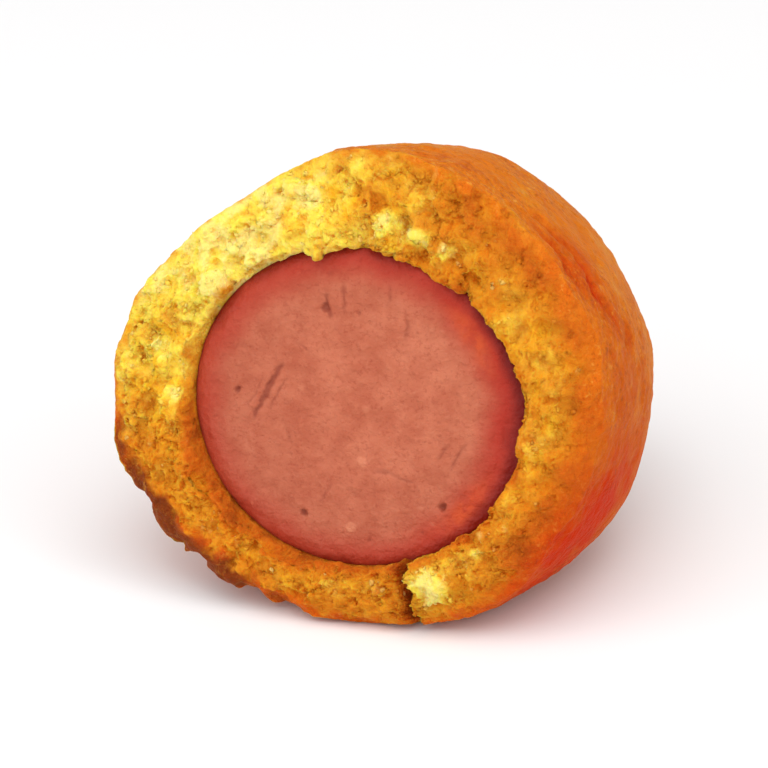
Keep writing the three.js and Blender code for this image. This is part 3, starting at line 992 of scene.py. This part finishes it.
# %% A class for a material
class Shader:
    """A material whose surface gets its values from nodes."""

    def __init__(self, name):
        self.material = bpy.data.materials.new(name)
        self.material.use_nodes = True
        self.tree = self.material.node_tree
        self.surface = self.tree.nodes["Principled BSDF"]
        self.place = self.node("ShaderNodeTexCoord", {}, {}, "Object")

    def node(self, kind, settings, sockets, output=0):
        return Signal(self, add_node(self.tree, kind, settings, sockets)[output])

    def attribute(self, name):
        return self.node("ShaderNodeAttribute", {"attribute_name": name}, {}, "Fac")

    def noise(self, size, detail=2.0, rough=0.5):
        """Noise of about 0 to 1, with lumps of the size given in millimetres."""
        scale = 1 / (size * MM)
        sockets = {"Vector": self.place, "Scale": scale, "Detail": detail, "Roughness": rough}
        return self.node("ShaderNodeTexNoise", {}, sockets, "Fac")

    def blend(self, share, first, second):
        """A colour between two colours."""
        sockets = {0: share, 6: first, 7: second}
        return self.node("ShaderNodeMix", {"data_type": "RGBA"}, sockets, 2)

    def coats(self, first, *others):
        """A colour with others laid over it in turn, each a share and a colour."""
        for share, other in others:
            first = self.blend(share, first, other)
        return first

    def bump(self, height, distance, after=None):
        sockets = {"Height": height, "Distance": distance * MM}
        if after:
            sockets["Normal"] = after
        return self.node("ShaderNodeBump", {}, sockets)

    def finished(self, values):
        """The material, with these values or links in the sockets of its surface."""
        for name, value in values.items():
            put(self.tree, self.surface.inputs[name], value)
        return self.material


def color(red, green, blue):
    """A colour from 0-255 values as a screen shows them, in the linear values of the renderer."""
    channels = np.array([red, green, blue]) / 255
    bright = ((channels + 0.055) / 1.055) ** 2.4
    return tuple(float(c) for c in np.where(channels <= 0.04045, channels / 12.92, bright))


# %% [markdown]
# ### Crust and crumb
#
# One material covers the whole batter, because at the rim the crust turns into crumb little by
# little. The crust is golden above and browner below, a fade painted as shade; it is painted darker
# as shade in its folds too, and reddest low at the right, partly fry colour and partly painted
# shade.
# The crumb is bright yellow where it is fresh and dry, and paler on its high clumps, partly as
# painted highlight. It is amber where the oil has soaked in, and painted orange and brown as shade
# in its creases and pores, on its wall beside the sausage and in the crack.

# %% The batter's material
def batter_material(name, scattering):
    """Crust and crumb. Scattering is how much light goes in and comes out again beside it."""
    s = Shader(name)
    crumb, toned, deep = s.attribute("crumb"), s.attribute("tone"), s.attribute("depth")
    amber_and_shade_here, browning_and_shade_here = s.attribute("amber_and_shade"), s.attribute("browning_and_shade")
    mottle, meal = s.noise(1.5, detail=4, rough=0.6), s.noise(0.42, detail=3, rough=0.7)
    mealy = s.noise(5.0, detail=3).step(0.4, 0.6)
    brown = browning_and_shade_here + 0.7 * (mottle - 0.5)
    crust_color = s.coats(
        color(230, 150, 40),
        (brown.step(0.05, 0.4), color(220, 114, 24)),
        (brown.step(0.4, 0.75), color(207, 91, 18)),
        # The reddest brown, partly painted shade low at the right.
        (brown.step(0.65, 1.35), color(205, 47, 6)),
        (s.attribute("toasted").step(0.15, 0.7), color(126, 56, 20)),
        (meal.step(0.54, 0.7) * (0.2 + 0.3 * mealy - 0.2 * brown), color(242, 180, 76)),
        (meal.step(0.47, 0.32) * (0.25 + 0.25 * mealy), color(154, 62, 16)),
    )
    crumb_color = s.coats(
        color(242, 182, 40),
        (toned.step(0.2, 0.9), color(255, 226, 86)),
        (amber_and_shade_here.step(0.05, 1.0), color(212, 134, 32)),
        # Painted shade: orange in creases and pores.
        (deep * (0.4 + 0.3 * amber_and_shade_here), color(226, 124, 18)),
        # These two are mostly painted shade, on the wall beside the sausage and in the crack.
        (amber_and_shade_here.step(0.95, 1.7) * 0.85, color(194, 92, 22)),
        (amber_and_shade_here.step(1.65, 2.0) * 0.7, color(138, 60, 16)),
        # Palest where the tone is highest: pale clumps, partly painted highlight, and the painted
        # light at the upper left.
        (toned.step(0.8, 1.25) * 0.8, color(252, 226, 132)),
    )
    fine_bump = s.bump(s.noise(0.2, detail=3, rough=0.65), 0.18)
    blisters = s.noise(0.6, detail=3) * (1.0 + 0.5 * mealy - 0.4 * crumb)
    return s.finished({
        "Base Color": s.blend(crumb, crust_color, crumb_color),
        "Roughness": 0.5 + 0.26 * crumb + 0.25 * (mottle - 0.5),
        "Normal": s.bump(blisters, 0.5, after=fine_bump),
        "Specular IOR Level": 0.03,
        "Subsurface Weight": scattering,
        "Subsurface Radius": (1.0, 0.55, 0.2),
        "Subsurface Scale": 1.2 * MM,
    })


fried_batter.data.materials.append(batter_material("fried_batter", scattering=0.7))

# %% [markdown]
# ### The sausage
#
# Cured meat is salmon inside and redder towards the skin, where the smoke and the oil reached it.
# The darkest red at the very edge is partly the skin's own colour and partly painted shade, which
# is strongest at the upper right, where the batter's lip shades the edge. The left of the cut is
# painted a little darker, as shade.
# Where oil has run in beside the batter, the red turns to orange. The meat is moist, so it is
# smoother and shinier than the crumb, with a fine grain.

# %% The sausage's material
def sausage_material():
    s = Shader("cut_sausage")
    names = ("edge", "pit_and_groove_shade", "fatty", "shaded", "oily")
    edge, painted_pit_shade, fat, shaded, oil = (s.attribute(name) for name in names)
    outwards = edge + (0.12 * (s.noise(2.2, detail=3) - 0.5) + 0.05 * shaded)
    mottled_oil = oil * (0.5 + 0.9 * s.noise(0.9, detail=3).step(0.35, 0.6))
    meat_color = s.coats(
        color(175, 90, 63),
        (s.noise(1.8, detail=4, rough=0.55).step(0.3, 0.7), color(191, 108, 79)),
        (s.noise(0.5, detail=3, rough=0.6).step(0.5, 0.7) * 0.3, color(198, 116, 84)),
        (s.noise(0.3, detail=3, rough=0.7).step(0.47, 0.34) * 0.35, color(150, 62, 40)),
        # Painted shade: the left of the cut a little darker.
        (edge * (1 - shaded) * 0.4, color(150, 64, 44)),
        # The red ring inside the skin, painted darker as shade at the upper right.
        (outwards.step(0.72, 0.95) * (0.6 + 0.35 * shaded), color(168, 38, 22)),
        (mottled_oil * 0.65, color(206, 82, 34)),
        # The skin's dark red edge, partly painted shade, strongest at the upper right.
        (outwards.step(0.93, 1.03) * (0.4 + 0.6 * shaded), color(112, 12, 6)),
        (fat * 0.4, color(214, 138, 104)),
        # Painted shade in pits and scratch grooves.
        (painted_pit_shade * 0.6, color(118, 40, 26)),
    )
    meat_grain = s.bump(s.noise(0.24, detail=4, rough=0.6), 0.06)
    return s.finished({
        "Base Color": meat_color,
        "Roughness": 0.4 + 0.2 * s.noise(0.8, detail=3),
        "Normal": s.bump(s.noise(1.0, detail=4, rough=0.6), 0.35, after=meat_grain),
        "Specular IOR Level": 0.2,
        "Subsurface Weight": 0.2,
        "Subsurface Radius": (1.2, 0.45, 0.25),
        "Subsurface Scale": 0.8 * MM,
    })


cut_sausage.data.materials.append(sausage_material())

# %% [markdown]
# ### The floor
#
# A plain pale grey, a little short of white, so that the soft shadow under the half shows.

# %% The floor's material
floor_color = {"Base Color": color(243, 243, 244), "Roughness": 0.9}
floor.data.materials.append(Shader("pale_floor").finished(floor_color))

# %% [markdown]
# ## Loose crumbs
#
# A break sheds crumbs, and many cling to the torn face. They are alike and lie at random on a
# surface, which is what Geometry Nodes do best: spread points on the faces, put a small rough grain
# on each, and turn all into one mesh. A crumb takes the tone of the place where it lies, with a
# small difference of its own, so that it belongs there and yet shows.

# %% A tree that scatters crumbs on whatever mesh it is given
SQUARE_CM = 10000  # in a square metre
CRUMB_SUBDIVISIONS, TRIANGLES_PER_CRUMB = 2, 80
FLATTEST, LONGEST = (0.6, 0.6, 0.5), (1.4, 1.4, 1.1)  # shares of a crumb's size along each axis
FULL_TURNS = (6.3, 6.3, 6.3)
TONE_LESS, TONE_MORE, TONE_SEED = -0.15, 0.35, 5
ROUGH_SIZE, ROUGH_HEIGHT = 0.12, 0.25

CRUMB_INPUTS = (
    ("Surface", "NodeSocketGeometry"), ("Per square centimetre", "NodeSocketFloat"),
    ("Smallest", "NodeSocketFloat"), ("Largest", "NodeSocketFloat"), ("Seed", "NodeSocketInt"),
)


def crumb_tree(material):
    tree = bpy.data.node_groups.new("scattered_crumbs", "GeometryNodeTree")
    for name, kind in CRUMB_INPUTS:
        tree.interface.new_socket(name, in_out="INPUT", socket_type=kind)
    tree.interface.new_socket("Crumbs", in_out="OUTPUT", socket_type="NodeSocketGeometry")

    def add(kind, settings, sockets):
        return add_node(tree, kind, settings, sockets)

    def vector_math(operation, sockets):
        return add("ShaderNodeVectorMath", {"operation": operation}, sockets)[0]

    given = add("NodeGroupInput", {}, {})
    density = {0: given["Per square centimetre"], 1: SQUARE_CM}
    per_metre = add("ShaderNodeMath", {"operation": "MULTIPLY"}, density)[0]
    spread = add("GeometryNodeDistributePointsOnFaces", {}, {
        "Mesh": given["Surface"], "Density": per_metre, "Seed": given["Seed"],
    })
    grain = add("GeometryNodeMeshIcoSphere", {}, {
        "Radius": 1.0, "Subdivisions": CRUMB_SUBDIVISIONS,
    })
    size = add("FunctionNodeRandomValue", {}, {
        2: given["Smallest"], 3: given["Largest"], "Seed": given["Seed"],
    })
    vector = {"data_type": "FLOAT_VECTOR"}
    shape = add("FunctionNodeRandomValue", vector, {0: FLATTEST, 1: LONGEST})
    turn = add("FunctionNodeRandomValue", vector, {0: (0, 0, 0), 1: FULL_TURNS})
    placed = add("GeometryNodeInstanceOnPoints", {}, {
        "Points": spread["Points"], "Instance": grain["Mesh"], "Rotation": turn[0],
        "Scale": vector_math("SCALE", {0: shape[0], "Scale": size[1]}),
    })

    below = add("GeometryNodeInputNamedAttribute", {"data_type": "FLOAT"}, {"Name": "tone"})
    own = add("FunctionNodeRandomValue", {}, {2: TONE_LESS, 3: TONE_MORE, "Seed": TONE_SEED})
    tone = add("ShaderNodeMath", {"operation": "ADD"}, {0: below["Attribute"], 1: own[1]})
    toned = add("GeometryNodeStoreNamedAttribute", {"data_type": "FLOAT", "domain": "INSTANCE"}, {
        "Geometry": placed[0], "Name": "tone", "Value": tone[0],
    })
    real = add("GeometryNodeRealizeInstances", {}, {"Geometry": toned[0]})

    rough = add("ShaderNodeTexNoise", {}, {"Scale": 1 / (ROUGH_SIZE * MM), "Detail": 1.0})
    centred = vector_math("SUBTRACT", {0: rough["Color"], 1: (0.5, 0.5, 0.5)})
    push = vector_math("SCALE", {0: centred, "Scale": ROUGH_HEIGHT * MM})
    uneven = add("GeometryNodeSetPosition", {}, {"Geometry": real[0], "Offset": push})
    finished = add("GeometryNodeSetMaterial", {}, {"Geometry": uneven[0], "Material": material})
    add("NodeGroupOutput", {}, {"Crumbs": finished[0]})
    return tree


# %% Crumbs on part of a mesh
def scatter_crumbs(name, tree, source, keep, **inputs):
    """A plain mesh of crumbs on those faces of the source whose points are all kept."""
    patch = add_object(name + "_patch", source.data.copy())
    corners = [list(polygon.vertices) for polygon in source.data.polygons]
    places = np.empty(len(source.data.vertices) * 3)
    source.data.vertices.foreach_get("co", places)
    patch.data.clear_geometry()
    kept_faces = [face for face in corners if keep[face].all()]
    patch.data.from_pydata(places.reshape(-1, 3).tolist(), [], kept_faces)
    for layer in source.data.attributes:
        if layer.data_type == "FLOAT" and layer.domain == "POINT":
            values = np.empty(len(layer.data), dtype=np.float32)
            layer.data.foreach_get("value", values)
            store(patch.data, layer.name, values)

    modifier = patch.modifiers.new("crumbs", "NODES")
    modifier.node_group = tree
    for item in tree.interface.items_tree:
        if item.in_out == "INPUT" and item.name in inputs:
            modifier[item.identifier] = inputs[item.name]
    evaluated = patch.evaluated_get(bpy.context.evaluated_depsgraph_get())
    scattered = bpy.data.meshes.new_from_object(evaluated)
    patch.modifiers.remove(modifier)
    bpy.data.objects.remove(patch)
    scattered.shade_smooth()
    triangles = len(scattered.polygons)
    print(name + ":", triangles, "triangles,", triangles // TRIANGLES_PER_CRUMB, "crumbs")
    return add_object(name, scattered)


tree = crumb_tree(batter_material("loose_crumb", scattering=0))
on_face = (crumb_share > 0.75) & (from_rim < ON_SHOULDER)
loose_crumbs = scatter_crumbs("loose_crumbs", tree, fried_batter, on_face, **{
    "Per square centimetre": 220.0, "Smallest": 0.05 * MM, "Largest": 0.15 * MM, "Seed": 3,
})

# %% [markdown]
# ## The pieces' body
#
# The two pieces stand for the two solids, which stay in the physics but are no longer seen. The
# crumbs stand for nothing, and lie with the rest on the one body.

# %% Bodies and solids
for piece, node, name in ((fried_batter, "batter", "batter"), (cut_sausage, "sausage", "sausage")):
    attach(piece, "root")
    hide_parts(node)
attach(loose_crumbs, "root")
